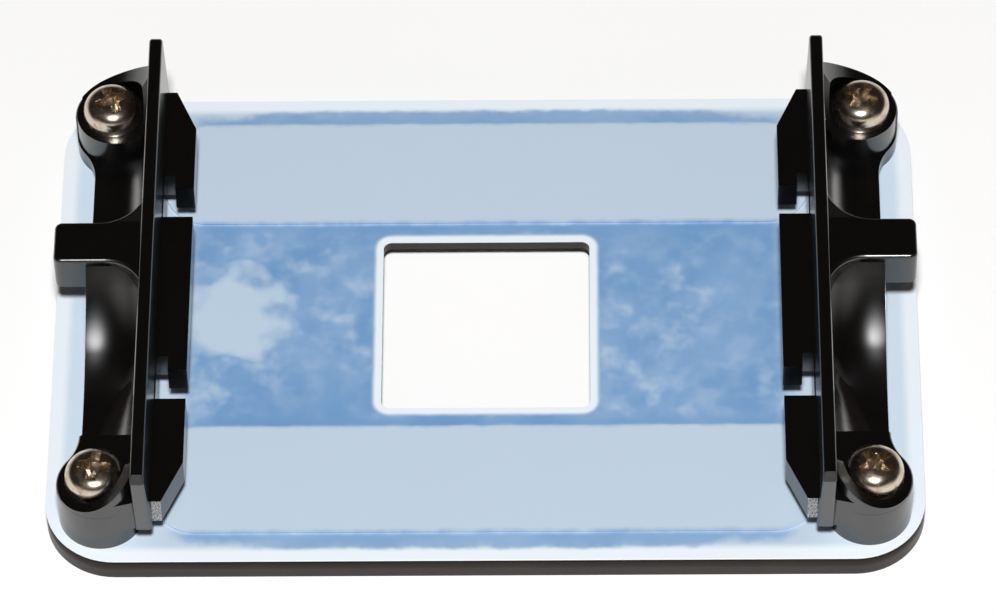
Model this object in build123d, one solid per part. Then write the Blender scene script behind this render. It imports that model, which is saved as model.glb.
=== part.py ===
"""CPU retention bracket set: steel backplate, film, pads, standoffs, two moulded rails and four screws.

Frame: millimetres, +Z up, origin at the bottom centre of the backplate. X runs along the plate's length,
from the left rail to the right rail, and Y runs from the front to the rear. The rails are reflections of
each other. Both are modelled on the +X side, with hand = 1 for the right one. With hand = -1, front and
rear change places, and half a turn about Z then makes it the left one.
"""
import os

from math import cos, radians, sin, tan

from build123d import *

# Backplate: a stamped tray with a turned-down rim
PLATE_LENGTH = 102.3
PLATE_WIDTH = 68.1
PLATE_CORNER = 8.3
PLATE_HEIGHT = 3.0
SHEET = 1.2
RIM_BEND = 1.5
WINDOW = 24.6
WINDOW_CORNER = 1.0

# Screw places, from the plate's edges: they give the board's hole spacing, 90 by 54
SCREW_INSET_X = 6.15
SCREW_INSET_Y = 7.05

# Film and the pads under it
FILM = 0.2
PAD_LENGTH = 77.0
PAD_WIDTH = 14.8
PAD_MARGIN = 4.05
PAD_CORNER = 5.0
PAD_THICKNESS = 0.3

# Standoffs
POST_DIAMETER = 6.2
POST_RISE = 3.0
POST_FLANGE_DIAMETER = 8.6
POST_FLANGE = 1.2
THREAD_BORE = 3.5

# Screws
SHANK_CLEARANCE = 0.1
HEAD_DIAMETER = 6.9
HEAD_HEIGHT = 3.0
HEAD_RIM = 1.1
SCREW_REACH = 7.4
RECESS_SPAN = 3.7
RECESS_WIDTH = 1.0
RECESS_DEPTH = 1.6
RECESS_TAPER = 6.0
TIP_CHAMFER = 0.4

# Rail: heights are above the film that its feet stand on
RAIL_UNDERSIDE = 2.8
FIN_TO_SCREW = 4.65
FIN_TOP_THICKNESS = 1.55
FIN_BASE_THICKNESS = 2.0
FIN_OVERRUN = 0.6
FIN_END_DRAFT = 1.3
FIN_TOP = 14.3
FIN_CORNER = 0.9
FIN_EDGE = 0.35
FLANGE_REACH = 5.5
FLANGE_SETBACK = 2.0
FLANGE_TOP = 6.5
FLANGE_CHAMFER_X = 2.45
FLANGE_CHAMFER_Y = 5.6
BAR_OVERHANG = 2.1
LEDGE = 1.6

# Rail: slots in the flange
SLOT_OFFSET_Y = 13.4
SLOT_WIDTH = 4.2
SLOT_DEPTH = 3.55
HOOK_WIDTH = 1.3
HOOK_LENGTH = 2.0

# Rail: bosses, their blends into the bar, and the walls that join them to the fin
BOSS_DIAMETER = 10.0
BOSS_INSET = 0.5
BOSS_OUTSET = 0.25
BOSS_TOP = 6.4
BOSS_BLEND = 6.0
BOSS_EDGE = 0.5
FOOT_SETBACK = 1.05
TAIL_ANGLE = 13.0
TAIL_TOP = 7.8
COLLAR_REACH = 3.8
COLLAR_DIP = 0.05
COLLAR_TOP = 12.0
COLLAR_SAG = 1.3
COLLAR_FOOT = 1.2
COLLAR_RUN = 2.8
COLLAR_SETBACK = 0.03
COLLAR_ROOT = 1.4
TAIL_SETBACK = 0.1

# Rail: clip lug and the pockets on its two sides
LUG_REACH = 3.8
LUG_FRONT_Y = 2.2
LUG_WIDTH = 5.9
LUG_TOP = 9.8
LUG_THICKNESS = 5.0
LUG_CORNER = 0.9
LUG_EDGE = 0.45
LUG_BLEND = 4.4
POCKET_DEPTH = 4.0
POCKET_TO_SCREW = 6.4
POCKET_BITE = 0.2
COVE = 5.5
CORNER_EASE = 0.8
RAMP_FOOT_Y = -15.0
RAMP_HEAD_HEIGHT = 8.9
GUSSET_TIP_Y = -7.0
GUSSET_TIP_HEIGHT = 2.9
GUSSET_TIP_LEG = 0.9
GUSSET_SINK = 0.3
GUSSET_LEG = 6.2

# Clearances
POST_HOLE_CLEARANCE = 0.1
FILM_HOLE_CLEARANCE = 0.4
PAD_CLEARANCE = 0.5
SOCKET_CLEARANCE = 0.3
SOCKET_HEADROOM = 0.3
SCREW_HOLE_CLEARANCE = 0.4
HEAD_CLEARANCE = 0.4

# Worked-out places
SEAT_Z = PLATE_HEIGHT + FILM
SCREW_X = PLATE_LENGTH / 2 - SCREW_INSET_X
SCREW_Y = PLATE_WIDTH / 2 - SCREW_INSET_Y
BOSS_RADIUS = BOSS_DIAMETER / 2
BOSS_X = SCREW_X - BOSS_INSET
BOSS_Y = SCREW_Y + BOSS_OUTSET
END_Y = BOSS_Y + BOSS_RADIUS
FIN_END_Y = END_Y + FIN_OVERRUN
FLANGE_END_Y = END_Y - FLANGE_SETBACK
SHELF_Y = SCREW_Y - POCKET_TO_SCREW
LUG_REAR_Y = LUG_FRONT_Y + LUG_WIDTH
FIN_OUTER_X = SCREW_X - FIN_TO_SCREW
FLANGE_INNER_X = FIN_OUTER_X - FLANGE_REACH
FOOT_INNER_X = FIN_OUTER_X + FOOT_SETBACK
BAR_OUTER_X = SCREW_X + BAR_OVERHANG
LUG_OUTER_X = BAR_OUTER_X + LUG_REACH
SHANK_DIAMETER = THREAD_BORE - SHANK_CLEARANCE
PAD_CENTRE_Y = (PLATE_WIDTH - PAD_WIDTH) / 2 - PAD_MARGIN
ROOT_X = FIN_OUTER_X - FIN_TOP_THICKNESS
LEDGE_TOP = BOSS_TOP - POCKET_DEPTH
BAR_UNDERSIDE = LEDGE_TOP - LEDGE
POCKET_CORNER = COVE + CORNER_EASE
COLLAR_BASE = BOSS_TOP - COLLAR_ROOT
TAIL_RADIUS = BOSS_RADIUS - TAIL_SETBACK
CUT_MARGIN = 5.0
CUT_TOP = FIN_TOP + CUT_MARGIN
CUT_REACH = LUG_OUTER_X + CUT_MARGIN
THROUGH = 2 * (SEAT_Z + CUT_TOP)
TOUCH = 0.01
CORNERS = {
    "front_left": (-SCREW_X, -SCREW_Y),
    "front_right": (SCREW_X, -SCREW_Y),
    "rear_left": (-SCREW_X, SCREW_Y),
    "rear_right": (SCREW_X, SCREW_Y),
}


def at_corners(shape):
    """Copies of a shape at the four screw places."""
    return [Pos(x, y) * shape for x, y in CORNERS.values()]


def block(x, y, z):
    """A box between pairs of limits along X, Y and Z."""
    size = Box(x[1] - x[0], y[1] - y[0], z[1] - z[0])
    return Pos(sum(x) / 2, sum(y) / 2, sum(z) / 2) * size


def panel(length, width, corner, thickness):
    """A flat sheet with rounded corners, standing on Z = 0."""
    return extrude(RectangleRounded(length, width, corner), thickness)


def disc(diameter, height):
    """A disc standing on Z = 0."""
    return extrude(Circle(diameter / 2), height)


def backplate():
    """The tray: rounded top edge, hollow underside, square window and standoff holes."""
    tray = panel(PLATE_LENGTH, PLATE_WIDTH, PLATE_CORNER, PLATE_HEIGHT)
    tray = fillet(tray.faces().sort_by(Axis.Z)[-1].edges(), RIM_BEND)
    inner_length = PLATE_LENGTH - 2 * SHEET
    inner_width = PLATE_WIDTH - 2 * SHEET
    hollow = panel(inner_length, inner_width, PLATE_CORNER - SHEET, PLATE_HEIGHT - SHEET)
    tray -= fillet(hollow.faces().sort_by(Axis.Z)[-1].edges(), RIM_BEND - SHEET)
    tray -= panel(WINDOW, WINDOW, WINDOW_CORNER, PLATE_HEIGHT)
    hole = Cylinder((POST_DIAMETER + POST_HOLE_CLEARANCE) / 2, THROUGH)
    return tray - at_corners(hole)


def standoff():
    """A threaded post with its flange under the sheet, on the Z axis at its real height."""
    flange_top = PLATE_HEIGHT - SHEET
    flange = Pos(0, 0, flange_top - POST_FLANGE) * disc(POST_FLANGE_DIAMETER, POST_FLANGE)
    post = Pos(0, 0, flange_top) * disc(POST_DIAMETER, SEAT_Z + POST_RISE - flange_top)
    return flange + post - Cylinder(THREAD_BORE / 2, THROUGH)


def pad_strip(y, growth, height):
    """A pad's rounded strip at a given Y, grown all round, clear of the window and the rails' feet."""
    length = PAD_LENGTH + 2 * growth
    strip = Pos(0, y) * RectangleRounded(length, PAD_WIDTH + 2 * growth, PAD_CORNER + growth)
    clearance = PAD_CLEARANCE - growth
    opening = WINDOW + 2 * clearance
    window = RectangleRounded(opening, opening, WINDOW_CORNER + clearance)
    feet = both_ends(boss_plan(clearance))
    return extrude(strip - [window, feet, mirror(feet, about=Plane.YZ)], height)


def adhesive_pad(y):
    """One pad on the plate's top."""
    return Pos(0, 0, PLATE_HEIGHT) * pad_strip(y, 0, PAD_THICKNESS)


def release_film():
    """The film: flat on the plate, stepped up over the pads, cut out at the window and standoffs."""
    film = panel(PLATE_LENGTH, PLATE_WIDTH, PLATE_CORNER, FILM)
    for y in (-PAD_CENTRE_Y, PAD_CENTRE_Y):
        film += pad_strip(y, FILM, PAD_THICKNESS + FILM)
        film -= pad_strip(y, 0, PAD_THICKNESS)
    film -= panel(WINDOW, WINDOW, WINDOW_CORNER, PAD_THICKNESS + FILM)
    hole = Cylinder((POST_DIAMETER + FILM_HOLE_CLEARANCE) / 2, THROUGH)
    return Pos(0, 0, PLATE_HEIGHT) * (film - at_corners(hole))


def screw():
    """A pan-head screw with a cross recess, on the Z axis with the underside of its head at Z = 0."""
    rim = HEAD_DIAMETER / 2
    crown = HEAD_HEIGHT - HEAD_RIM
    outline = Polyline((0, HEAD_HEIGHT), (0, 0), (rim, 0), (rim, HEAD_RIM))
    dome = RadiusArc((0, HEAD_HEIGHT), (rim, HEAD_RIM), (rim**2 + crown**2) / (2 * crown))
    head = revolve(Plane.XZ * make_face([*outline.edges(), dome]), Axis.Z)
    cross = Rectangle(RECESS_SPAN, RECESS_WIDTH) + Rectangle(RECESS_WIDTH, RECESS_SPAN)
    head -= extrude(Pos(0, 0, HEAD_HEIGHT) * cross, -RECESS_DEPTH, taper=RECESS_TAPER)
    shank = disc(SHANK_DIAMETER, SCREW_REACH)
    tip = chamfer(shank.edges().sort_by(Axis.Z)[0], TIP_CHAMFER)
    return head + Pos(0, 0, -SCREW_REACH) * tip


def fin():
    """The tall wall: upright outer face, drafted inner face and ends, rounded top."""
    section = Polyline(
        (FIN_OUTER_X, RAIL_UNDERSIDE),
        (FIN_OUTER_X, FIN_TOP),
        (FIN_OUTER_X - FIN_TOP_THICKNESS, FIN_TOP),
        (FIN_OUTER_X - FIN_BASE_THICKNESS, RAIL_UNDERSIDE),
        close=True,
    )
    foot_y = FIN_END_Y - FIN_END_DRAFT
    side = make_face(
        Polyline(
            (-foot_y, RAIL_UNDERSIDE),
            (-FIN_END_Y, FIN_TOP),
            (FIN_END_Y, FIN_TOP),
            (foot_y, RAIL_UNDERSIDE),
            close=True,
        )
    )
    side = fillet(side.vertices().group_by(Axis.Y)[-1], FIN_CORNER)
    wall = extrude(Plane.XZ * make_face(section), FIN_END_Y, both=True)
    wall &= extrude(Plane.YZ * side, FIN_OUTER_X)
    rims = wall.edges().filter_by(lambda e: e.center().Z > RAIL_UNDERSIDE + TOUCH)
    across = rims.filter_by(Axis.X)
    return fillet(rims - across, FIN_EDGE)


def flange(hand):
    """The inner flange with its chamfered ends and two hooked slots."""
    outline = Polyline(
        (FIN_OUTER_X, -FLANGE_END_Y),
        (FLANGE_INNER_X + FLANGE_CHAMFER_X, -FLANGE_END_Y),
        (FLANGE_INNER_X, FLANGE_CHAMFER_Y - FLANGE_END_Y),
        (FLANGE_INNER_X, FLANGE_END_Y - FLANGE_CHAMFER_Y),
        (FLANGE_INNER_X + FLANGE_CHAMFER_X, FLANGE_END_Y),
        (FIN_OUTER_X, FLANGE_END_Y),
        close=True,
    )
    plan = make_face(outline)
    root = FLANGE_INNER_X + SLOT_DEPTH
    hook = (
        Pos(root - SLOT_DEPTH, 0) * Rectangle(2 * SLOT_DEPTH, SLOT_WIDTH)
        + Pos(root - HOOK_WIDTH / 2, hand * SLOT_WIDTH / 2) * Rectangle(HOOK_WIDTH, 2 * HOOK_LENGTH)
    )
    for y in (-SLOT_OFFSET_Y, SLOT_OFFSET_Y):
        plan -= Pos(0, y) * hook
    return Pos(0, 0, RAIL_UNDERSIDE) * extrude(plan, FLANGE_TOP - RAIL_UNDERSIDE)


def boss_plan(growth=0):
    """Plan of one boss at the rear, grown all round."""
    return Pos(BOSS_X, BOSS_Y) * Circle(BOSS_RADIUS + growth)


def tail_plan():
    """Plan of the wall that leaves the rear boss at a tangent and ends in the fin."""
    angle = radians(TAIL_ANGLE)
    start = (BOSS_X - TAIL_RADIUS * sin(angle), BOSS_Y + TAIL_RADIUS * cos(angle))
    end = (ROOT_X, start[1] - (start[0] - ROOT_X) * tan(angle))
    return make_face(Polyline(start, end, (ROOT_X, BOSS_Y), (BOSS_X, BOSS_Y), close=True))


def both_ends(shape):
    """A shape at the rear end together with its reflection at the front end."""
    return shape + mirror(shape, about=Plane.XZ)


def bar_plan(inner_x):
    """Plan of the outer bar from a given inner limit, with its two bosses blended into it."""
    plan = Pos((inner_x + BAR_OUTER_X) / 2, 0) * Rectangle(BAR_OUTER_X - inner_x, 2 * SCREW_Y)
    plan += both_ends(boss_plan())
    corners = plan.vertices().filter_by(lambda v: abs(v.X - BAR_OUTER_X) < TOUCH and abs(v.Y) < SCREW_Y)
    return fillet(corners, BOSS_BLEND)


def bar():
    """The outer bar: bosses with rounded rims, a skirt that stops short of the fin, and the feet."""
    upper = Pos(0, 0, RAIL_UNDERSIDE) * extrude(bar_plan(ROOT_X), BOSS_TOP - RAIL_UNDERSIDE)
    rims = upper.edges().group_by(Axis.Z)[-1].filter_by(GeomType.CIRCLE)
    skirt = Pos(0, 0, BAR_UNDERSIDE) * extrude(bar_plan(FOOT_INNER_X), RAIL_UNDERSIDE - BAR_UNDERSIDE)
    feet = extrude(both_ends(boss_plan()), BAR_UNDERSIDE)
    return fillet(rims, BOSS_EDGE) + skirt + feet


def collar():
    """The wall at the rear end that rises from the boss's rim, round the screw head, up to the fin."""
    low = (SCREW_X + COLLAR_REACH, BOSS_TOP - COLLAR_DIP)
    high = (FIN_OUTER_X, COLLAR_TOP)
    crest = SagittaArc(high, low, -COLLAR_SAG)
    foot = Polyline(low, (low[0], COLLAR_BASE), (FIN_OUTER_X, COLLAR_BASE), high)
    wall = extrude(Plane.XZ * make_face([crest, *foot.edges()]), END_Y, both=True)
    front = SCREW_Y - COLLAR_FOOT
    side = Polyline(
        (front, COLLAR_BASE),
        (front, BOSS_TOP),
        (front + COLLAR_RUN, COLLAR_TOP),
        (END_Y, COLLAR_TOP),
        (END_Y, COLLAR_BASE),
        close=True,
    )
    wall &= extrude(Plane.YZ * make_face(side), CUT_REACH)
    return wall & extrude(boss_plan(-COLLAR_SETBACK), CUT_TOP)


def end_walls():
    """The collars and tails at both ends of the rail."""
    tail = Pos(0, 0, RAIL_UNDERSIDE) * extrude(tail_plan(), TAIL_TOP - RAIL_UNDERSIDE)
    return both_ends(collar() + tail)


def lug_blank(hand):
    """A block along the bar, as high as the lug, and the overhanging tab."""
    core = block((ROOT_X, BAR_OUTER_X), (-SHELF_Y, SHELF_Y), (RAIL_UNDERSIDE, LUG_TOP))
    sides = sorted((hand * LUG_FRONT_Y, hand * LUG_REAR_Y))
    tab = block((ROOT_X, LUG_OUTER_X), sides, (LUG_TOP - LUG_THICKNESS, LUG_TOP))
    outer = tab.edges().filter_by(Axis.Z).group_by(Axis.X)[-1]
    return core + fillet(outer, LUG_CORNER)


def rear_pocket(hand):
    """A cutter from the fin's outer face outwards, coved along the fin and the lug, round at the boss."""
    corners = (
        (SCREW_Y, CUT_TOP),
        (SCREW_Y, LEDGE_TOP),
        (LUG_REAR_Y, LEDGE_TOP),
        (LUG_REAR_Y, CUT_TOP),
    )
    face = make_face(Polyline(*[(hand * y, z) for y, z in corners], close=True))
    foot = face.vertices().sort_by_distance((hand * LUG_REAR_Y, LEDGE_TOP, 0))[0]
    face = fillet(foot, POCKET_CORNER)
    cutter = extrude(Plane.YZ * face, CUT_REACH - FIN_OUTER_X, dir=(1, 0, 0))
    inner_edges = cutter.faces().sort_by(Axis.X)[0].edges()
    below_top = inner_edges.filter_by(lambda e: e.center().Z < CUT_TOP)
    coved = below_top.filter_by(lambda e: abs(e.center().Y) < SCREW_Y - CORNER_EASE)
    cutter = Pos(FIN_OUTER_X, 0, 0) * fillet(coved, COVE)
    return cutter - Pos(BOSS_X, hand * BOSS_Y) * Cylinder(BOSS_RADIUS - POCKET_BITE, THROUGH)


def front_pocket(hand):
    """A cutter from the fin's outer face outwards, with a ramp that curves up to the lug."""
    foot = (hand * RAMP_FOOT_Y, LEDGE_TOP)
    head = (hand * LUG_FRONT_Y, RAMP_HEAD_HEIGHT)
    ramp = TangentArc(foot, head, tangent=(hand, 0))
    end_y = -hand * SHELF_Y
    rest = Polyline(head, (head[0], CUT_TOP), (end_y, CUT_TOP), (end_y, LEDGE_TOP), foot)
    face = make_face([ramp, *rest.edges()])
    return Pos(FIN_OUTER_X, 0, 0) * extrude(Plane.YZ * face, CUT_REACH - FIN_OUTER_X, dir=(1, 0, 0))


def lug_corner(hand):
    """The fill that rounds the corner between the lug's front and the fin."""
    wall_y = hand * LUG_FRONT_Y
    near_y = wall_y - hand * LUG_BLEND
    out = (FIN_OUTER_X + LUG_BLEND, wall_y)
    near = (FIN_OUTER_X, near_y)
    curve = RadiusArc(out, near, -hand * LUG_BLEND)
    rest = Polyline(near, (ROOT_X, near_y), (ROOT_X, wall_y), out)
    fill = extrude(make_face([curve, *rest.edges()]), LUG_TOP - RAIL_UNDERSIDE)
    return Pos(0, 0, RAIL_UNDERSIDE) * fill


def gusset(hand):
    """The cove along the fin in the front pocket, that widens towards the boss."""
    tip = (GUSSET_TIP_Y, GUSSET_TIP_HEIGHT, GUSSET_TIP_LEG)
    wide = (-SHELF_Y, LEDGE_TOP - GUSSET_SINK, GUSSET_LEG)
    sections = []
    for y, toe, leg in (tip, wide):
        high = (FIN_OUTER_X, toe + leg)
        low = (FIN_OUTER_X + leg, toe)
        rest = Polyline(low, (ROOT_X, toe), (ROOT_X, toe + leg), high)
        face = make_face([RadiusArc(high, low, -leg), *rest.edges()])
        sections.append(Pos(0, hand * y, 0) * (Plane.XZ * face))
    return loft(sections, ruled=True)


def rail(hand):
    """One moulded rail, on the +X side."""
    body = lug_blank(hand) + bar() - rear_pocket(hand) - front_pocket(hand)
    body += [lug_corner(hand), gusset(hand)]
    crest = body.faces().sort_by(Axis.Z)[-1].edges()
    body = fillet(crest.filter_by(lambda e: e.bounding_box().max.X > FIN_OUTER_X + LUG_EDGE), LUG_EDGE)
    body += [fin(), flange(hand), end_walls()]
    socket = disc(POST_DIAMETER + SOCKET_CLEARANCE, POST_RISE + SOCKET_HEADROOM)
    hole = Cylinder((SHANK_DIAMETER + SCREW_HOLE_CLEARANCE) / 2, THROUGH)
    seat = Pos(0, 0, BOSS_TOP) * disc(HEAD_DIAMETER + 2 * HEAD_CLEARANCE, CUT_TOP)
    for y in (-SCREW_Y, SCREW_Y):
        body -= Pos(SCREW_X, y) * (socket + hole + seat)
    return Pos(0, 0, SEAT_Z) * body


def main():
    """Builds every piece and writes one file for each."""
    pieces = {"backplate": backplate(), "release_film": release_film()}
    pieces["adhesive_pad_front"] = adhesive_pad(-PAD_CENTRE_Y)
    pieces["adhesive_pad_rear"] = adhesive_pad(PAD_CENTRE_Y)
    pieces["rail_right"] = rail(1)
    pieces["rail_left"] = Rot(0, 0, 180) * rail(-1)
    for name, (x, y) in CORNERS.items():
        pieces[f"standoff_{name}"] = Pos(x, y) * standoff()
        pieces[f"screw_{name}"] = Pos(x, y, SEAT_Z + BOSS_TOP) * screw()
    os.makedirs("parts", exist_ok=True)
    for name, piece in pieces.items():
        export_step(piece, f"parts/{name}.step")


main()
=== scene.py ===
"""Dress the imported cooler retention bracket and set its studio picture.

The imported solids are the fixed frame. This script gives every piece its finish, models the four screws in
place of their solids, rounds the edges of the release film, and sets the pale floor, one soft lamp, the
surroundings and the camera. Sizes are metres in the part's own frame, with +X towards the right rail, +Y
towards the rear and +Z up. The finishes count in millimetres in that frame.
"""
from __future__ import annotations

import logging
import math
from collections.abc import Mapping
from dataclasses import dataclass, field
from enum import Enum
from typing import Any, Union

import bpy
from mathutils import Matrix, Vector

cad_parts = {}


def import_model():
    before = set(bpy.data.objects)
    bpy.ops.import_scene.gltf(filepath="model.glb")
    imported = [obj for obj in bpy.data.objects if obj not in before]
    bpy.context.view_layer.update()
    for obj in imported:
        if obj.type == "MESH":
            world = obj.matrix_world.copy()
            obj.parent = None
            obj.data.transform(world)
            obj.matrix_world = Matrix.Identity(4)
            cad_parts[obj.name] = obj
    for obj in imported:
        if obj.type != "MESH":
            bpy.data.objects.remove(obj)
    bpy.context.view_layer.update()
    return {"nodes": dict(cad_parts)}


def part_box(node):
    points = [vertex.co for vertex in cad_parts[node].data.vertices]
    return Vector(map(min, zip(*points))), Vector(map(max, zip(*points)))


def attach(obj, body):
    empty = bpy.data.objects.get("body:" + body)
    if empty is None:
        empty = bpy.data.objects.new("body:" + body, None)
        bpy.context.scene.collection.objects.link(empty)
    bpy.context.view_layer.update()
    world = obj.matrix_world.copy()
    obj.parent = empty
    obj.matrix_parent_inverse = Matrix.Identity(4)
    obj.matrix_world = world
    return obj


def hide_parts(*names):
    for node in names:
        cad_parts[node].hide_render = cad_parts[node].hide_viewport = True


LOG = logging.getLogger("bracket")
MM = 0.001
BODY = "root"
IMAGE_WIDTH = 996
SENSOR_WIDTH = 36.0
UP = Vector((0.0, 0.0, 1.0))
DOWN = Vector((0.0, 0.0, -1.0))
FACING = 0.9

Colour = tuple[float, float, float]
Span = tuple[float, float]
Source = Union["Wire", float, Colour]


class Slot(Enum):
    """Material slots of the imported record."""

    STEEL = "black_steel"
    PLATED = "plated_steel"
    FOAM = "adhesive_foam"
    FILM = "blue_film"
    PLASTIC = "black_plastic"
    NICKEL = "nickel"


class Corner(Enum):
    """The four screw places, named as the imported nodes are."""

    FRONT_LEFT = "front_left"
    FRONT_RIGHT = "front_right"
    REAR_LEFT = "rear_left"
    REAR_RIGHT = "rear_right"


class Wire:
    """A socket of a node tree that takes part in arithmetic."""

    def __init__(self, graph: "Graph", socket: bpy.types.NodeSocket) -> None:
        """Wrap an output socket.

        Args:
            graph: The tree the socket belongs to.
            socket: The output socket.
        """
        self.graph = graph
        self.socket = socket

    def _math(self, operation: str, *values: Source) -> "Wire":
        """Add a Math node and give its result."""
        return self.graph.wire("ShaderNodeMath", {"operation": operation}, dict(enumerate(values)))

    def __add__(self, other: Source) -> "Wire":
        """Give the sum."""
        return self._math("ADD", self, other)

    def __radd__(self, other: Source) -> "Wire":
        """Give the sum, from the right."""
        return self._math("ADD", other, self)

    def __sub__(self, other: Source) -> "Wire":
        """Give the difference."""
        return self._math("SUBTRACT", self, other)

    def __rsub__(self, other: Source) -> "Wire":
        """Give the difference, from the right."""
        return self._math("SUBTRACT", other, self)

    def __mul__(self, other: Source) -> "Wire":
        """Give the product."""
        return self._math("MULTIPLY", self, other)

    def __rmul__(self, other: Source) -> "Wire":
        """Give the product, from the right."""
        return self._math("MULTIPLY", other, self)

    def __pow__(self, other: Source) -> "Wire":
        """Give the power."""
        return self._math("POWER", self, other)

    def __abs__(self) -> "Wire":
        """Give the absolute value."""
        return self._math("ABSOLUTE", self)

    def least(self, other: Source) -> "Wire":
        """Give the smaller of the two."""
        return self._math("MINIMUM", self, other)

    def most(self, other: Source) -> "Wire":
        """Give the larger of the two."""
        return self._math("MAXIMUM", self, other)

    def step(self, low: float, high: float) -> "Wire":
        """Give a smooth step from 0 at low to 1 at high; low may be the larger.

        Args:
            low: The value that gives 0.
            high: The value that gives 1.

        Returns:
            The step, between 0 and 1.
        """
        if low > high:
            return 1 - self.step(high, low)
        settings = {"interpolation_type": "SMOOTHSTEP"}
        inputs = {"Value": self, "From Min": low, "From Max": high}
        return self.graph.wire("ShaderNodeMapRange", settings, inputs)


@dataclass(frozen=True)
class Grain:
    """A noise: the size of its grain in millimetres, how many finer layers it has and their strength."""

    size: float
    detail: float = 3.0
    roughness: float = 0.5


class Graph:
    """A node tree with one method that makes every node."""

    def __init__(self, tree: bpy.types.NodeTree) -> None:
        """Empty a tree and keep it.

        Args:
            tree: The node tree of a material or world.
        """
        self.tree = tree
        tree.nodes.clear()

    def node(
        self,
        kind: str,
        settings: Mapping[str, Any] | None = None,
        inputs: Mapping[str | int, Source] | None = None,
    ) -> bpy.types.Node:
        """Add a node, set it up and join its sockets.

        Args:
            kind: The node's type name.
            settings: Its properties, which are set first.
            inputs: Values or wires for its input sockets, by name or index.

        Returns:
            The new node.
        """
        node = self.tree.nodes.new(kind)
        for name, value in (settings or {}).items():
            setattr(node, name, value)
        for key, value in (inputs or {}).items():
            socket = node.inputs[key]
            if isinstance(value, Wire):
                self.tree.links.new(value.socket, socket)
            elif isinstance(value, tuple) and len(value) != len(socket.default_value):
                socket.default_value = (*value, 1.0)
            else:
                socket.default_value = value
        return node

    def wire(
        self,
        kind: str,
        settings: Mapping[str, Any] | None = None,
        inputs: Mapping[str | int, Source] | None = None,
        output: str | int = 0,
    ) -> Wire:
        """Add a node and give one of its outputs.

        Args:
            kind: The node's type name.
            settings: Its properties.
            inputs: Values or wires for its input sockets.
            output: The output's name or index.

        Returns:
            The output as a wire.
        """
        return Wire(self, self.node(kind, settings, inputs).outputs[output])

    def place(self) -> Wire:
        """Give the object coordinate in millimetres."""
        own = self.wire("ShaderNodeTexCoord", output="Object")
        return self.wire("ShaderNodeMapping", inputs={"Vector": own, "Scale": (1 / MM, 1 / MM, 1 / MM)})

    def axes(self, vector: Wire) -> tuple[Wire, Wire, Wire]:
        """Split a vector into its three numbers."""
        parts = self.node("ShaderNodeSeparateXYZ", inputs={0: vector}).outputs
        return Wire(self, parts[0]), Wire(self, parts[1]), Wire(self, parts[2])

    def noise(self, at: Wire, grain: Grain) -> Wire:
        """Give a noise between 0 and 1.

        Args:
            at: The coordinate in millimetres.
            grain: The noise's grain.

        Returns:
            The noise, about 0.5 on average.
        """
        layers = {"Detail": grain.detail, "Roughness": grain.roughness}
        return self.wire("ShaderNodeTexNoise", inputs={"Vector": at, "Scale": 1 / grain.size, **layers})

    def swing(self, at: Wire, grain: Grain) -> Wire:
        """Give a noise that swings evenly about 0."""
        return self.noise(at, grain) - 0.5

    def blend(self, share: Source, first: Source, second: Source) -> Wire:
        """Mix two colours.

        Args:
            share: How much of the second one shows.
            first: The colour at share 0.
            second: The colour at share 1.

        Returns:
            The mixed colour.
        """
        return self.wire("ShaderNodeMix", {"data_type": "RGBA"}, {0: share, 6: first, 7: second}, output=2)

    def bump(self, height: Wire, depth: float) -> Wire:
        """Turn a height pattern into a bumped normal.

        Args:
            height: The height pattern.
            depth: What a height of 1 stands for, in metres.

        Returns:
            The normal.
        """
        return self.wire("ShaderNodeBump", inputs={"Strength": 1.0, "Distance": depth, "Height": height})

    def rounded_box(self, x: Wire, y: Wire, half: Span, radius: float) -> Wire:
        """Give the distance to a rounded rectangle about the origin, negative inside.

        Args:
            x: The first coordinate.
            y: The second coordinate.
            half: Half the rectangle's sizes.
            radius: The radius of its corners.

        Returns:
            The distance in the coordinates' unit.
        """
        across = abs(x) - (half[0] - radius)
        along = abs(y) - (half[1] - radius)
        outside = (across.most(0.0) ** 2.0 + along.most(0.0) ** 2.0) ** 0.5
        return outside + across.most(along).least(0.0) - radius

    def oval(self, x: Wire, y: Wire, centre: Span, half: Span) -> Wire:
        """Give the distance from an oval's centre, counted as 1 on its outline.

        Args:
            x: The first coordinate.
            y: The second coordinate.
            centre: The oval's centre.
            half: Half the oval's sizes.

        Returns:
            The distance.
        """
        across = (x - centre[0]) * (1 / half[0])
        along = (y - centre[1]) * (1 / half[1])
        return (across**2.0 + along**2.0) ** 0.5


@dataclass(frozen=True)
class Finish:
    """What every finish has: a name and a way to be made."""

    name: str

    def make(self) -> bpy.types.Material:
        """Build the material.

        Returns:
            The new material.
        """
        material = bpy.data.materials.new(self.name)
        material.use_nodes = True
        graph = Graph(material.node_tree)
        shader = graph.wire("ShaderNodeBsdfPrincipled", inputs=self.sockets(graph))
        graph.node("ShaderNodeOutputMaterial", inputs={"Surface": shader})
        return material

    def sockets(self, graph: Graph) -> dict[str, Source]:
        """Give the shader's sockets; each finish has its own."""
        raise NotImplementedError


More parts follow.
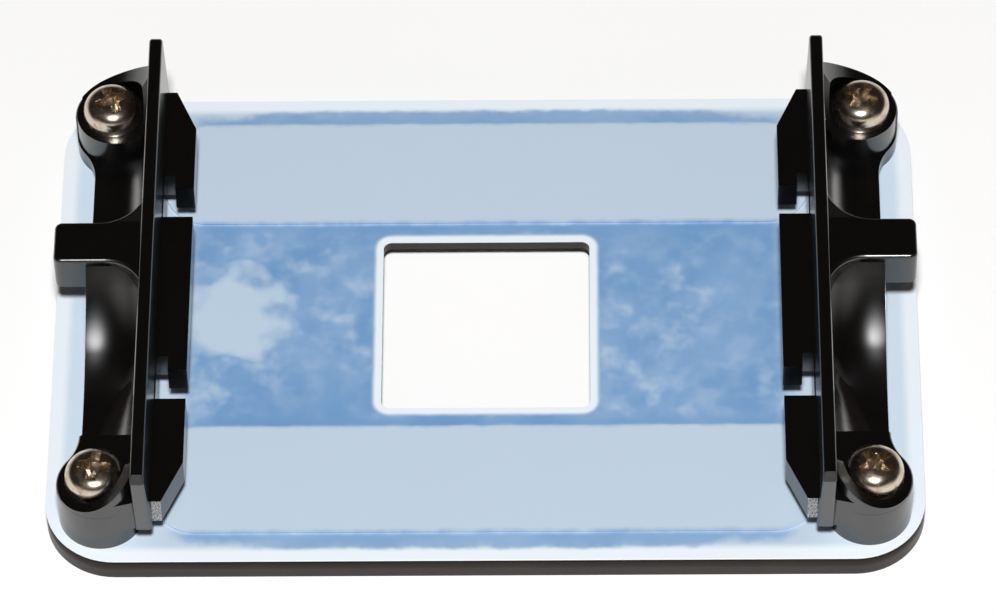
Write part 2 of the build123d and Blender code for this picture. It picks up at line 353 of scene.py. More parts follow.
@dataclass(frozen=True)
class RampHollow:
    """The dished ramp on each bar in front of its lug.

    The bar's sides are counted from the middle of the part, and the ramp ends under the lug at end_y and
    end_z. The hollow runs along hollow_line, and the rise steepens the ramp over rise_y.
    """

    bar_x: Span = (40.36, 47.08)
    bar_fade: float = 0.02
    end_y: float = 2.2
    end_z: float = 12.5
    end_fade: float = 0.05
    hollow_y: Span = (-13.0, 6.0)
    hollow_fade: float = 6.0
    hollow_line: float = 45.6
    hollow_radius: float = 6.0
    rise_y: Span = (-6.9, 5.4)
    rise: float = 2.83
    rubbed_at: Span = (46.0, -5.0)
    rubbed_half: Span = (2.7, 5.4)

    def height(self, x: Wire, y: Wire, z: Wire) -> Wire:
        """Give the relief of the ramps.

        Args:
            x: Place along the plate.
            y: Place across the plate.
            z: Height.

        Returns:
            The height that the hollow and the rise add, in millimetres.
        """
        inner, outer = self.bar_x
        front, rear = self.hollow_y
        on_bar = abs(x).step(inner, inner + self.bar_fade) * abs(x).step(outer, outer - self.bar_fade)
        on_bar = on_bar * y.step(self.end_y, self.end_y - self.end_fade)
        on_bar = on_bar * z.step(self.end_z + self.end_fade, self.end_z)
        share = y.step(front, front + self.hollow_fade) * y.step(rear, rear - self.hollow_fade)
        hollow = (abs(x) - self.hollow_line) ** 2.0 * (0.5 / self.hollow_radius) * share
        return (hollow + y.step(*self.rise_y) * self.rise) * on_bar

    def rubbed(self, graph: Graph, x: Wire, y: Wire) -> Wire:
        """Give the share of rubbed, duller plastic in the hollow of each ramp."""
        return graph.oval(abs(x), y, self.rubbed_at, self.rubbed_half).step(1.0, 0.0)


@dataclass(frozen=True)
class PaintedFlangeEndHighlight:
    """Painted highlight on the flanges' front ends: pale speckled colour, with some dulling and relief."""

    face_y: float = -30.25
    face_fade: Span = (0.12, 0.05)
    flange_x: Span = (36.9, 38.35)
    flange_fade: float = 0.1
    speckle: Grain = Grain(0.16, 3.0, 0.7)
    speckle_span: Span = (0.4, 0.58)
    # painted highlight: the pale speckle colour on the flange ends
    colour: Colour = (0.6, 0.61, 0.63)
    dulling: float = 0.4
    depth: float = 0.06

    def share(self, graph: Graph, at: Wire, x: Wire, y: Wire) -> Wire:
        """Find the painted highlight.

        Args:
            graph: The material's tree.
            at: The coordinate.
            x: Place along the plate.
            y: Place across the plate.

        Returns:
            The share of painted highlight.
        """
        near, far = self.flange_x
        face = abs(y - self.face_y).step(*self.face_fade)
        flange = abs(x).step(near, near + self.flange_fade) * abs(x).step(far + self.flange_fade, far)
        return graph.noise(at, self.speckle).step(*self.speckle_span) * face * flange


@dataclass(frozen=True)
class CovePolish:
    """Polish in the coves behind the lugs and on the gussets in front of them.

    The coves run round the pockets behind the lugs, along the wall at wall_x. A gusset's leg grows from
    its tip to its foot.
    """

    wall_x: float = 40.35
    wall_fade: Span = (-0.15, -0.05)
    pocket_y: Span = (8.1, 22.5)
    pocket_fade: Span = (0.1, 1.5)
    pocket_half: float = 10.0
    pocket_corner: float = 6.3
    cove_depth: Span = (-2.7, -1.62)
    cove_reach: Span = (4.4, 2.4)
    gusset_y: Span = (-7.0, -20.6)
    gusset_leg: Span = (0.9, 6.2)
    gusset_span: Span = (0.1, -1.1)
    tip_fade: float = 2.5
    foot_fade: float = 0.05
    index: float = 2.1
    gloss: float = 0.25

    def share(self, graph: Graph, x: Wire, y: Wire) -> Wire:
        """Find the polished places.

        Args:
            graph: The material's tree.
            x: Place along the plate.
            y: Place across the plate.

        Returns:
            The share of polish.
        """
        wide = abs(x) - self.wall_x
        return self.coves(graph, wide, y).most(self.gussets(wide, y)) * wide.step(*self.wall_fade)

    def coves(self, graph: Graph, wide: Wire, y: Wire) -> Wire:
        """Find the coves behind the lugs.

        Args:
            graph: The material's tree.
            wide: The distance from the wall.
            y: Place across the plate.

        Returns:
            The share of polish there.
        """
        near, far = self.pocket_y
        near_fade, far_fade = self.pocket_fade
        half = self.pocket_half
        depth = graph.rounded_box(wide - half, y - (near + half), (half, half), self.pocket_corner)
        along = y.step(near - near_fade, near + near_fade) * y.step(far, far - far_fade)
        return depth.step(*self.cove_depth) * wide.step(*self.cove_reach) * along

    def gussets(self, wide: Wire, y: Wire) -> Wire:
        """Find the gussets in front of the lugs.

        Args:
            wide: The distance from the wall.
            y: Place across the plate.

        Returns:
            The share of polish there.
        """
        tip, foot = self.gusset_y
        low, high = self.gusset_leg
        leg = (tip - y) * ((high - low) / (tip - foot)) + low
        along = y.step(tip, tip - self.tip_fade) * y.step(foot - self.foot_fade, foot + self.foot_fade)
        return (wide - leg).step(*self.gusset_span) * along


@dataclass(frozen=True)
class MouldedPlastic(Finish):
    """Glossy black moulded plastic: faint grain, dust, dished ramps, polished coves, painted flange-end
    highlight.

    The front ends of the fins' tops, at fin_end as y and z, are dull.
    """

    colour: Colour = (0.0012, 0.0012, 0.0013)
    dust_colour: Colour = (0.02, 0.02, 0.021)
    gloss: float = 0.18
    rubbed_gloss: float = 0.41
    index: float = 1.64
    specular: float = 0.75
    grain: Grain = Grain(0.16, 2.0)
    grain_depth: float = 0.0012
    cloud: Grain = Grain(6.0)
    cloud_dulling: float = 0.06
    dust: Grain = Grain(0.5, 5.0, 0.7)
    dust_span: Span = (0.68, 0.8)
    dust_share: float = 0.5
    dust_dulling: float = 0.2
    fin_end: Span = (-32.1, 16.6)
    fin_fade: float = 0.2
    fin_dulling: float = 0.62
    ramp: RampHollow = RampHollow()
    end_highlight: PaintedFlangeEndHighlight = PaintedFlangeEndHighlight()
    polish: CovePolish = CovePolish()

    def sockets(self, graph: Graph) -> dict[str, Source]:
        """Give the sockets of the plastic.

        Args:
            graph: The material's tree.

        Returns:
            Values or wires by socket name.
        """
        at = graph.place()
        x, y, z = graph.axes(at)
        cloud = graph.noise(at, self.cloud)
        grain = graph.noise(at, self.grain)
        dust = graph.noise(at, self.dust).step(*self.dust_span) * self.dust_share
        # painted highlight on the front ends of the flanges
        painted_highlight = self.end_highlight.share(graph, at, x, y)
        front, top = self.fin_end
        fin_end = y.step(front + self.fin_fade, front) * z.step(top - self.fin_fade, top)
        gloss = self.gloss + self.ramp.rubbed(graph, x, y) * (self.rubbed_gloss - self.gloss)
        dulling = cloud * self.cloud_dulling + dust * self.dust_dulling
        dulling = dulling + painted_highlight * self.end_highlight.dulling + fin_end * self.fin_dulling
        plain = graph.blend(dust, self.colour, self.dust_colour)
        relief = grain * self.grain_depth + painted_highlight * self.end_highlight.depth + self.ramp.height(x, y, z)
        return {
            # the base colour carries the painted highlight on the flange ends
            "Base Color": graph.blend(painted_highlight, plain, self.end_highlight.colour),
            "Roughness": gloss + dulling,
            "Coat Weight": self.polish.share(graph, x, y),
            "Coat IOR": self.polish.index,
            "Coat Roughness": self.polish.gloss,
            "IOR": self.index,
            "Specular IOR Level": self.specular,
            "Normal": graph.bump(relief, MM),
        }


@dataclass(frozen=True)
class NickelPlate(Finish):
    """Bright, warm plating with fine marks and dull brown patches."""

    colour: Colour = (0.66, 0.57, 0.47)
    tarnish: Colour = (0.4, 0.28, 0.18)
    gloss: float = 0.17
    patches: Grain = Grain(1.3, 4.0, 0.6)
    patch_span: Span = (0.45, 0.68)
    patch_share: float = 0.75
    patch_dulling: float = 0.12
    marks: Grain = Grain(0.12, 2.0)
    mark_dulling: float = 0.05
    mark_depth: float = 0.002 * MM

    def sockets(self, graph: Graph) -> dict[str, Source]:
        """Give the sockets of the plating.

        Args:
            graph: The material's tree.

        Returns:
            Values or wires by socket name.
        """
        at = graph.place()
        patches = graph.noise(at, self.patches).step(*self.patch_span)
        marks = graph.noise(at, self.marks)
        return {
            "Base Color": graph.blend(patches * self.patch_share, self.colour, self.tarnish),
            "Metallic": 1.0,
            "Roughness": self.gloss + patches * self.patch_dulling + marks * self.mark_dulling,
            "Normal": graph.bump(marks, self.mark_depth),
        }


@dataclass(frozen=True)
class SatinCoat(Finish):
    """Satin black coat on stamped steel, with an orange-peel surface."""

    colour: Colour = (0.006, 0.0056, 0.0054)
    worn: Colour = (0.011, 0.0098, 0.009)
    warmth: Colour = (1.0, 0.88, 0.82)
    gloss: float = 0.34
    specular: float = 0.42
    cloud: Grain = Grain(9.0)
    cloud_span: Span = (0.35, 0.75)
    cloud_dulling: float = 0.1
    peel: Grain = Grain(0.45, 2.0)
    peel_depth: float = 0.004 * MM

    def sockets(self, graph: Graph) -> dict[str, Source]:
        """Give the sockets of the coat.

        Args:
            graph: The material's tree.

        Returns:
            Values or wires by socket name.
        """
        at = graph.place()
        cloud = graph.noise(at, self.cloud)
        return {
            "Base Color": graph.blend(cloud.step(*self.cloud_span), self.colour, self.worn),
            "Roughness": self.gloss + cloud * self.cloud_dulling,
            "Specular IOR Level": self.specular,
            "Specular Tint": self.warmth,
            "Normal": graph.bump(graph.noise(at, self.peel), self.peel_depth),
        }


@dataclass(frozen=True)
class PlatedSteel(Finish):
    """Plain plated steel of the standoffs, cloudy and with fine marks."""

    colour: Colour = (0.55, 0.54, 0.52)
    clouded: Colour = (0.42, 0.4, 0.37)
    gloss: float = 0.28
    cloud: Grain = Grain(2.0)
    cloud_span: Span = (0.4, 0.8)
    marks: Grain = Grain(0.2)
    mark_dulling: float = 0.12
    mark_depth: float = 0.003 * MM

    def sockets(self, graph: Graph) -> dict[str, Source]:
        """Give the sockets of the steel.

        Args:
            graph: The material's tree.

        Returns:
            Values or wires by socket name.
        """
        at = graph.place()
        cloud = graph.noise(at, self.cloud)
        marks = graph.noise(at, self.marks)
        return {
            "Base Color": graph.blend(cloud.step(*self.cloud_span), self.colour, self.clouded),
            "Metallic": 1.0,
            "Roughness": self.gloss + marks * self.mark_dulling,
            "Normal": graph.bump(marks, self.mark_depth),
        }


@dataclass(frozen=True)
class AdhesiveFoam(Finish):
    """Pale foam of the pads, with fine open cells."""

    colour: Colour = (0.5, 0.6, 0.72)
    cell_colour: Colour = (0.44, 0.54, 0.66)
    dullness: float = 0.85
    cells: Grain = Grain(0.3, 4.0, 0.6)
    cell_span: Span = (0.35, 0.7)
    cell_dulling: float = 0.1
    cell_depth: float = 0.02 * MM

    def sockets(self, graph: Graph) -> dict[str, Source]:
        """Give the sockets of the foam.

        Args:
            graph: The material's tree.

        Returns:
            Values or wires by socket name.
        """
        cells = graph.noise(graph.place(), self.cells)
        return {
            "Base Color": graph.blend(cells.step(*self.cell_span), self.cell_colour, self.colour),
            "Roughness": self.dullness + cells * self.cell_dulling,
            "Normal": graph.bump(cells, self.cell_depth),
        }


@dataclass(frozen=True)
class FilmPlace:
    """A place on the film, and its distances from the outlines of the pads, the plate and the window."""

    at: Wire
    x: Wire
    y: Wire
    pads: Wire
    plate: Wire
    window: Wire


@dataclass(frozen=True)
class Border:
    """An uneven border: how far it wanders, and the distances at which a share is 0 and 1."""

    reach: float
    span: Span

    def share(self, distance: Wire, wander: Wire) -> Wire:
        """Give the share at a distance that wanders."""
        return (distance + wander * self.reach).step(*self.span)


@dataclass(frozen=True)
class ClingingFilm:
    """Where the film clings to the plate: over its middle, and in a band that hugs the pads."""

    wander: Grain = Grain(2.2, 2.0)
    pads: Border = Border(0.8, (-0.4, 0.7))
    plate: Border = Border(0.8, (-1.25, -2.05))
    window: Border = Border(0.3, (0.65, 1.35))
    sides: Border = Border(1.5, (37.2, 33.6))
    middle: Span = (15.8, 15.2)
    band: Border = Border(1.6, (0.8, -0.8))
    band_width: Span = (1.45, 2.9)
    band_x: Span = (30.0, 20.0)
    band_drift: Grain = Grain(14.0, 1.0)
    band_drift_reach: float = 26.0
    band_share: float = 0.82

    def share(self, graph: Graph, place: FilmPlace) -> Wire:
        """Find where the film clings.

        Args:
            graph: The material's tree.
            place: The place on the film.

        Returns:
            The share of clinging film.
        """
        wander = graph.swing(place.at, self.wander)
        drift = graph.swing(place.at, self.band_drift) * self.band_drift_reach
        thin, wide = self.band_width
        width = (abs(place.x) + drift).step(*self.band_x) * (wide - thin) + thin
        band = self.band.share(place.pads - width, wander) * self.band_share
        off_pads = self.pads.share(place.pads, wander)
        off_plate_edge = self.plate.share(place.plate, wander)
        off_window = self.window.share(place.window, wander)
        between_rails = self.sides.share(abs(place.x), wander)
        stuck = abs(place.y).step(*self.middle).most(band)
        return off_pads * off_plate_edge * off_window * between_rails * stuck


@dataclass(frozen=True)
class TrappedAir:
    """Soft pockets of air under the clinging film, with a haze, and one large ragged patch."""

    crowd: Grain = Grain(7.0, 2.0)
    crowd_span: Span = (0.36, 0.66)
    pockets: Grain = Grain(2.2, 1.6, 0.45)
    pocket_span: Span = (0.42, 0.84)
    pocket_share: float = 0.62
    haze: Grain = Grain(3.2, 2.0)
    haze_span: Span = (0.38, 0.75)
    haze_share: float = 0.2
    scattered_share: float = 0.8
    off_pads: Span = (0.7, 2.2)
    patch_centre: Span = (-29.4, 1.0)
    patch_half: Span = (5.4, 6.6)
    patch_span: Span = (1.36, 0.72)
    patch_share: float = 0.95
    ragged: Grain = Grain(2.6, 1.5)
    broad: Grain = Grain(7.0, 1.0)
    broad_reach: float = 1.5

    def share(self, graph: Graph, place: FilmPlace) -> Wire:
        """Find where the film is lifted by air.

        Args:
            graph: The material's tree.
            place: The place on the film.

        Returns:
            The share of lifted film.
        """
        crowd = graph.noise(place.at, self.crowd).step(*self.crowd_span)
        pockets = graph.noise(place.at, self.pockets).step(*self.pocket_span) * crowd
        haze = graph.noise(place.at, self.haze).step(*self.haze_span) * self.haze_share
        scattered = (pockets * self.pocket_share + haze).least(self.scattered_share)
        uneven = graph.swing(place.at, self.ragged) + graph.swing(place.at, self.broad) * self.broad_reach
        oval = graph.oval(place.x, place.y, self.patch_centre, self.patch_half)
        patch = (oval + uneven).step(*self.patch_span) * self.patch_share
        return (scattered * place.pads.step(*self.off_pads)).most(patch)


@dataclass(frozen=True)
class ReleaseFilm(Finish):
    """Blue film: pale over the pads and edges, blue where it clings to the plate, with trapped air."""

    plate_half: Span = (51.15, 34.05)
    plate_corner: float = 8.3
    window_half: Span = (12.3, 12.3)
    window_corner: float = 1.0
    pad_half: Span = (38.5, 7.4)
    pad_centre: float = 22.6
    pad_corner: float = 5.0
    plate_edge: Span = (-2.4, -1.1)
    window_edge: Span = (1.3, 0.6)
    side_x: Span = (36.0, 42.0)
    over_pad: Colour = (0.505, 0.612, 0.728)
    clinging: Colour = (0.152, 0.312, 0.562)
    clinging_pale: Colour = (0.205, 0.36, 0.6)
    lifted: Colour = (0.5, 0.62, 0.745)
    edge: Colour = (0.8, 0.86, 0.93)
    sides: Colour = (0.6, 0.71, 0.82)
    gloss: float = 0.46
    wave: Grain = Grain(9.0, 2.0)
    wave_span: Span = (0.35, 0.7)
    wave_dulling: float = 0.1
    wave_depth: float = 0.05 * MM
    air_height: float = 0.1
    cling: ClingingFilm = ClingingFilm()
    air: TrappedAir = TrappedAir()

    def place(self, graph: Graph) -> FilmPlace:
        """Measure a place on the film.

        Args:
            graph: The material's tree.

        Returns:
            The place and its distances.
        """
        at = graph.place()
        x, y, _ = graph.axes(at)
        return FilmPlace(
            at=at,
            x=x,
            y=y,
            pads=graph.rounded_box(x, abs(y) - self.pad_centre, self.pad_half, self.pad_corner),
            plate=graph.rounded_box(x, y, self.plate_half, self.plate_corner),
            window=graph.rounded_box(x, y, self.window_half, self.window_corner),
        )

    def sockets(self, graph: Graph) -> dict[str, Source]:
        """Give the sockets of the film.

        Args:
            graph: The material's tree.

        Returns:
            Values or wires by socket name.
        """
        place = self.place(graph)
        cling = self.cling.share(graph, place)
        lifted = self.air.share(graph, place)
        wave = graph.noise(place.at, self.wave)
        edge = place.plate.step(*self.plate_edge).most(place.window.step(*self.window_edge))
        flat = graph.blend(abs(place.x).step(*self.side_x), self.over_pad, self.sides)
        loose = graph.blend(edge, flat, self.edge)
        blue = graph.blend(wave.step(*self.wave_span), self.clinging, self.clinging_pale)
        stuck = graph.blend(lifted, blue, self.lifted)
        return {
            "Base Color": graph.blend(cling, loose, stuck),
            "Roughness": self.gloss + wave * self.wave_dulling,
            "Normal": graph.bump(wave + lifted * cling * self.air_height, self.wave_depth),
        }


@dataclass(frozen=True)
class PaleFloor(Finish):
    """Plain pale floor."""

    colour: Colour = (0.965, 0.962, 0.96)
    clouded: Colour = (0.97, 0.968, 0.968)
    cloud: Grain = Grain(30.0, 2.0)
    cloud_span: Span = (0.3, 0.7)
    dullness: float = 0.9
    specular: float = 0.2

    def sockets(self, graph: Graph) -> dict[str, Source]:
        """Give the sockets of the floor.

        Args:
            graph: The material's tree.

        Returns:
            Values or wires by socket name.
        """
        cloud = graph.noise(graph.place(), self.cloud)
        return {
            "Base Color": graph.blend(cloud.step(*self.cloud_span), self.colour, self.clouded),
            "Roughness": self.dullness,
            "Specular IOR Level": self.specular,
        }


class Bench:
    """Modelling steps that every sub-assembly shares."""

    @staticmethod
    def clear() -> None:
        """Leave edit mode and deselect everything."""
        if bpy.context.mode != "OBJECT":
            bpy.ops.object.mode_set(mode="OBJECT")
        bpy.ops.object.select_all(action="DESELECT")

    @classmethod
    def focus(cls, piece: bpy.types.Object) -> None:
        """Select one piece alone and make it active.

        Args:
            piece: The piece.
        """
        cls.clear()
        piece.select_set(True)
        bpy.context.view_layer.objects.active = piece

    @classmethod
    def pick_faces(cls, piece: bpy.types.Object, direction: Vector) -> None:
        """Enter edit mode with the faces that look in a direction selected.

        Args:
            piece: The piece to edit.
            direction: The direction, as a unit vector.
        """
        cls.focus(piece)
        bpy.ops.object.mode_set(mode="EDIT")
        bpy.ops.mesh.select_mode(type="FACE")
        bpy.ops.mesh.select_all(action="DESELECT")
        bpy.ops.object.mode_set(mode="OBJECT")
        for face in piece.data.polygons:
            face.select = face.normal.dot(direction) > FACING
        bpy.ops.object.mode_set(mode="EDIT")

    @classmethod
    def settle(cls, piece: bpy.types.Object) -> None:
        """Put a piece's place into its mesh."""
        cls.focus(piece)
        bpy.ops.object.transform_apply(location=True, rotation=True, scale=True)

    @classmethod
    def apply(cls, piece: bpy.types.Object, kind: str, **settings: Any) -> None:
        """Add a modifier with settings and apply it.

        Args:
            piece: The piece.
            kind: The modifier's type.
            settings: Its properties.
        """
        cls.focus(piece)
        modifier = piece.modifiers.new(kind.title(), kind)
        for name, value in settings.items():
            setattr(modifier, name, value)
        bpy.ops.object.modifier_apply(modifier=modifier.name)

    @staticmethod
    def dress(piece: bpy.types.Object, material: bpy.types.Material) -> None:
        """Give a piece one material all over.

        Args:
            piece: The piece.
            material: The material.
        """
        if not piece.material_slots:
            piece.data.materials.append(material)
        for own in piece.material_slots:
            own.material = material


@dataclass
class Screws:
    """Pan-head screws with a cross recess, one modelled and four placed.

    The taper of a recess wing gives the shares of its span and width that are left at its bottom. The
    core's tip is a share of its radius, and its height and sink are shares of the recess's depth.
    """

    material: bpy.types.Material
    head_radius: float = 3.45 * MM
    rim_height: float = 0.35 * MM
    head_height: float = 2.98 * MM
    head_facets: int = 96
    dome_rings: int = 18
    fullness: float = 0.7
    edge: float = 0.07 * MM
    edge_segments: int = 3
    edge_angle: float = math.radians(38)
    smooth_angle: float = math.radians(32)
    shank_radius: float = 1.7 * MM
    shank_facets: int = 48
    tip_chamfer: float = 0.4 * MM
    tip_segments: int = 2
    recess_depth: float = 1.85 * MM
    wing_span: float = 4.6 * MM
    wing_width: float = 1.25 * MM
    wing_taper: Span = (0.7, 0.8)
    core_radius: float = 1.1 * MM
    core_facets: int = 32
    core_tip: float = 0.25
    core_height: float = 1.2
    core_sink: float = 0.55
    turns: Mapping[Corner, float] = field(
        default_factory=lambda: {
            Corner.FRONT_LEFT: -8.0,
            Corner.FRONT_RIGHT: 37.0,
            Corner.REAR_LEFT: 24.0,
            Corner.REAR_RIGHT: -30.0,
        }
    )

    def _head(self) -> bpy.types.Object:
        """Model the head: a short cylinder whose top is inset and raised ring by ring.

        Returns:
            The head, with its underside at Z = 0.
        """
        Bench.clear()
        bpy.ops.mesh.primitive_cylinder_add(
            vertices=self.head_facets,
            radius=self.head_radius,
            depth=self.rim_height,
            location=(0, 0, self.rim_height / 2),
        )
        head = bpy.context.object
        Bench.settle(head)
        Bench.pick_faces(head, UP)
        crown = self.head_height - self.rim_height
        width = self.head_radius
        height = 0.0
        for ring in range(1, self.dome_rings):
            angle = math.radians(90) * ring / self.dome_rings
            new_width = self.head_radius * math.cos(angle) ** self.fullness
            new_height = crown * math.sin(angle) ** self.fullness
            bpy.ops.mesh.inset(thickness=width - new_width)
            bpy.ops.transform.translate(value=(0, 0, new_height - height))
            width, height = new_width, new_height
        bpy.ops.mesh.poke()
        Bench.clear()
        return head

    def _wing(self, turn: float) -> bpy.types.Object:
        """Model one tapered blade of the recess cutter.

        Args:
            turn: Its turn about Z in radians.

        Returns:
            The blade, reaching down from above the head.
        """
        Bench.clear()
        bpy.ops.mesh.primitive_cube_add(size=1, location=(0, 0, self.head_height))
        blade = bpy.context.object
        blade.scale = (self.wing_span, self.wing_width, 2 * self.recess_depth)
        Bench.settle(blade)
        Bench.pick_faces(blade, DOWN)
        bpy.ops.transform.resize(value=(*self.wing_taper, 1), center_override=(0, 0, self.head_height))
        bpy.ops.object.mode_set(mode="OBJECT")
        blade.rotation_euler.z = turn
        Bench.settle(blade)
        return blade

    def _core(self) -> bpy.types.Object:
        """Model the cone in the middle of the recess cutter.

        Returns:
            The cone.
        """
        Bench.clear()
        bpy.ops.mesh.primitive_cone_add(
            vertices=self.core_facets,
            radius1=self.core_tip * self.core_radius,
            radius2=self.core_radius,
            depth=self.core_height * self.recess_depth,
            location=(0, 0, self.head_height - self.core_sink * self.recess_depth),
        )
        core = bpy.context.object
        Bench.settle(core)
        return core

    def _shank(self, reach: float) -> bpy.types.Object:
        """Model the shank with its chamfered tip.

        Args:
            reach: How far it goes down below the head.

        Returns:
            The shank.
        """
        Bench.clear()
        bpy.ops.mesh.primitive_cylinder_add(
            vertices=self.shank_facets,
            radius=self.shank_radius,
            depth=reach + self.rim_height / 2,
            location=(0, 0, self.rim_height / 4 - reach / 2),
        )
        shank = bpy.context.object
        Bench.settle(shank)
        Bench.pick_faces(shank, DOWN)
        bpy.ops.mesh.bevel(offset=self.tip_chamfer, segments=self.tip_segments)
        Bench.clear()
        return shank

    def model(self, reach: float) -> bpy.types.Object:
        """Model one screw with the underside of its head at Z = 0.

        Args:
            reach: The shank's length below the head.

        Returns:
            The screw.
        """
        head = self._head()
        for cutter in (self._wing(0.0), self._wing(math.radians(90)), self._core()):
            Bench.apply(head, "BOOLEAN", operation="DIFFERENCE", object=cutter, solver="EXACT")
            bpy.data.objects.remove(cutter)
        Bench.apply(
            head,
            "BEVEL",
            width=self.edge,
            segments=self.edge_segments,
            limit_method="ANGLE",
            angle_limit=self.edge_angle,
        )
        shank = self._shank(reach)
        Bench.apply(head, "BOOLEAN", operation="UNION", object=shank, solver="EXACT")
        bpy.data.objects.remove(shank)
        Bench.focus(head)
        bpy.ops.object.shade_smooth_by_angle(angle=self.smooth_angle)
        return head

    def build(self) -> list[bpy.types.Object]:
        """Place a copy of the screw at each corner, in place of its solid.

        Returns:
            The four screws.
        """
        low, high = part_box(f"screw_{Corner.FRONT_LEFT.value}")
        reach = high.z - low.z - self.head_height
        pattern = self.model(reach)
        screws = []
        for corner in Corner:
            node = f"screw_{corner.value}"
            low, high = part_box(node)
            centre = (low + high) / 2
            screw = pattern.copy()
            screw.data = pattern.data.copy()
            bpy.context.scene.collection.objects.link(screw)
            screw.name = f"pan_screw_{corner.value}"
            place = Matrix.Translation((centre.x, centre.y, low.z + reach))
            screw.data.transform(place @ Matrix.Rotation(math.radians(self.turns[corner]), 4, "Z"))
            Bench.dress(screw, self.material)
            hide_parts(node)
            screws.append(screw)
        bpy.data.objects.remove(pattern)
        return screws


@dataclass
class Carried:
    """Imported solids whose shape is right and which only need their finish.

    Solids of the softened slots also have their edges rounded, by the width given there.
    """

    nodes: Mapping[str, bpy.types.Object]
    finishes: Mapping[Slot, bpy.types.Material]
    softened: Mapping[Slot, float] = field(default_factory=lambda: {Slot.FILM: 0.14 * MM})
    weld_reach: float = 0.002 * MM
    rounding_segments: int = 3
    sharp_angle: float = math.radians(50)
    normal_weight: int = 80

    def soften(self, node: bpy.types.Object, width: float) -> None:
        """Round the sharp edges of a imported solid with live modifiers.

        Args:
            node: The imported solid.
            width: How wide the rounding is, in metres.
        """
        weld = node.modifiers.new("weld", "WELD")
        weld.merge_threshold = self.weld_reach
        bevel = node.modifiers.new("rounding", "BEVEL")
        bevel.width = width
        bevel.segments = self.rounding_segments
        bevel.limit_method = "ANGLE"
        bevel.angle_limit = self.sharp_angle
        bevel.use_clamp_overlap = True
        normals = node.modifiers.new("normals", "WEIGHTED_NORMAL")
        normals.mode = "FACE_AREA"
        normals.weight = self.normal_weight

    def dress(self) -> None:
        """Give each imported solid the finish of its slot."""
        for name, node in self.nodes.items():
            slot = Slot(node.material_slots[0].material.name.split(".")[0])
            Bench.dress(node, self.finishes[slot])
            if slot in self.softened:
                self.soften(node, self.softened[slot])
            LOG.info("dressed %s in %s", name, slot.value)


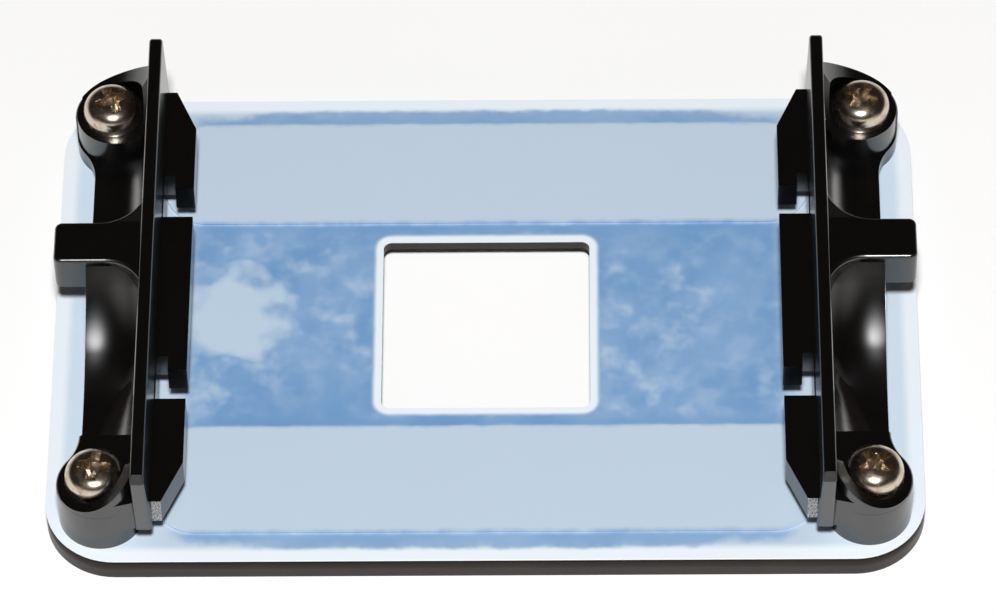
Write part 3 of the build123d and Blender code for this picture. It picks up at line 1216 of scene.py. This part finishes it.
@dataclass
class Studio:
    """Floor, surroundings, lamp and camera.

    Angles are degrees, round from the front and up from the floor. The surroundings are a dim room with a
    pale ring low down, by height, and a pale glow in front, by height and depth.
    """

    target: Vector = field(default_factory=lambda: Vector((1.398, 2.430, 3.2)) * MM)
    azimuth: float = 1.2456
    elevation: float = 53.002
    roll: float = -1.2983
    distance: float = 781.815 * MM
    focal_pixels: float = 6578.13
    near_clip: float = 10 * MM
    floor_size: float = 6.0
    room: Colour = (0.022, 0.016, 0.012)
    pale: Colour = (0.92, 0.89, 0.86)
    ring_height: Span = (0.2, 0.03)
    ring_share: float = 0.65
    glow_height: Span = (0.5, 0.15)
    glow_depth: Span = (-0.2, -0.75)
    key_azimuth: float = 1.0
    key_elevation: float = 66.0
    key_distance: float = 1.2
    key_size: float = 0.17
    key_power: float = 15.4

    @staticmethod
    def direction(azimuth: float, elevation: float) -> Vector:
        """Give the direction towards a place round the part, from degrees round and up."""
        a, e = math.radians(azimuth), math.radians(elevation)
        return Vector((math.sin(a) * math.cos(e), -math.cos(a) * math.cos(e), math.sin(e)))

    def floor(self) -> None:
        """Lay the floor under the part."""
        Bench.clear()
        bpy.ops.mesh.primitive_plane_add(size=self.floor_size)
        floor = bpy.context.object
        floor.name = "floor"
        Bench.settle(floor)
        Bench.dress(floor, PaleFloor("pale_floor").make())

    def world(self) -> None:
        """Make the surroundings."""
        world = bpy.data.worlds.new("surroundings")
        bpy.context.scene.world = world
        world.use_nodes = True
        graph = Graph(world.node_tree)
        heading = graph.wire("ShaderNodeTexCoord", output="Generated")
        _, depth, height = graph.axes(heading)
        ring = height.step(*self.ring_height) * self.ring_share
        glow = height.step(*self.glow_height) * depth.step(*self.glow_depth)
        sky = graph.blend(ring.most(glow), self.room, self.pale)
        shader = graph.wire("ShaderNodeBackground", inputs={"Color": sky, "Strength": 1.0})
        graph.node("ShaderNodeOutputWorld", inputs={"Surface": shader})

    def key_lamp(self) -> None:
        """Hang the round lamp that looks at the part."""
        data = bpy.data.lights.new("key", "AREA")
        data.shape = "DISK"
        data.size = self.key_size
        data.energy = self.key_power
        lamp = bpy.data.objects.new("key", data)
        bpy.context.scene.collection.objects.link(lamp)
        back = self.direction(self.key_azimuth, self.key_elevation)
        turn = back.to_track_quat("Z", "Y").to_matrix().to_4x4()
        lamp.matrix_world = Matrix.Translation(self.target + back * self.key_distance) @ turn

    def camera(self) -> None:
        """Stand the camera where the photograph was taken from."""
        back = self.direction(self.azimuth, self.elevation)
        side = Vector((math.cos(math.radians(self.azimuth)), math.sin(math.radians(self.azimuth)), 0.0))
        up = back.cross(side)
        roll = math.radians(self.roll)
        right = math.cos(roll) * side + math.sin(roll) * up
        above = math.cos(roll) * up - math.sin(roll) * side
        data = bpy.data.cameras.new("camera")
        data.sensor_width = SENSOR_WIDTH
        data.lens = self.focal_pixels * SENSOR_WIDTH / IMAGE_WIDTH
        data.clip_start = self.near_clip
        camera = bpy.data.objects.new("camera", data)
        bpy.context.scene.collection.objects.link(camera)
        turn = Matrix((right, above, back)).transposed().to_4x4()
        camera.matrix_world = Matrix.Translation(self.target + back * self.distance) @ turn
        bpy.context.scene.camera = camera

    def build(self) -> None:
        """Set the whole studio."""
        bpy.context.scene.view_settings.view_transform = "Standard"
        self.floor()
        self.world()
        self.key_lamp()
        self.camera()


def main() -> None:
    """Load the frame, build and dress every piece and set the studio."""
    logging.basicConfig(level=logging.INFO, format="%(name)s: %(message)s")
    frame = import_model()
    finishes = {
        Slot.STEEL: SatinCoat("satin_coat").make(),
        Slot.PLATED: PlatedSteel("plated_steel_turned").make(),
        Slot.FOAM: AdhesiveFoam("pad_foam").make(),
        Slot.FILM: ReleaseFilm("release_film_blue").make(),
        Slot.PLASTIC: MouldedPlastic("moulded_black").make(),
        Slot.NICKEL: NickelPlate("nickel_plate").make(),
    }
    Carried(frame["nodes"], finishes).dress()
    for screw in Screws(finishes[Slot.NICKEL]).build():
        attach(screw, BODY)
        LOG.info("built %s", screw.name)
    Studio().build()


if __name__ == "__main__":
    main()
